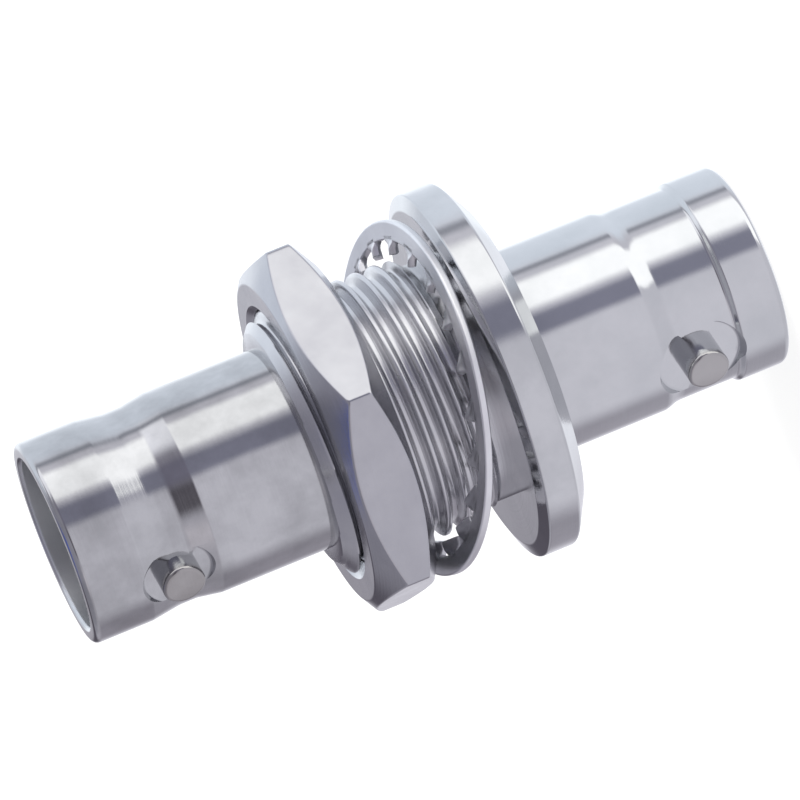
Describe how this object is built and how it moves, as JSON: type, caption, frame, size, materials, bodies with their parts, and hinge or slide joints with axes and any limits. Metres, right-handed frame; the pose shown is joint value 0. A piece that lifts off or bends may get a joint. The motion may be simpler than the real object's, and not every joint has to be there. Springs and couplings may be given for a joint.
{
  "type": "coaxial bulkhead adapter",
  "caption": "Nickel-plated coaxial bulkhead adapter with a bayonet jack at each end, a panel thread, a flange, a hex nut and a leaning toothed washer.",
  "frame": {"origin": "centre of the lower mouth, where the axis meets the surface that the adapter stands on", "axes": "+Z along the axis, from the flanged end's mouth to the threaded end's mouth; the bayonet lugs point along +X and -X"},
  "size_m": [0.0184, 0.0176, 0.0343],
  "materials": {
    "nickel_plate": "satin nickel plate on turned brass",
    "washer_plate": "plated spring steel",
    "ptfe": "matt white",
    "gold_plate": "gold plate"
  },
  "bodies": {
    "adapter": {"connector_body": "nickel_plate", "upper_insulator": "ptfe", "lower_insulator": "ptfe", "centre_contact": "gold_plate"},
    "washer": {"lock_washer": "washer_plate"},
    "nut": {"hex_nut": "nickel_plate"}
  },
  "joints": [
    {"name": "washer_slide", "type": "slide", "parent": "adapter", "child": "washer", "axis": [0, 0, 1], "range_m": [0, 0.00363]},
    {"name": "nut_turn", "type": "hinge", "parent": "washer", "child": "nut", "pos_m": [0, 0, 0.0205], "axis": [0, 0, 1], "range_deg": [0, 1440]}
  ],
  "couplings": [
    {"joint": "nut_turn", "follows": "washer_slide", "rad_per_m": 6926.3}
  ]
}
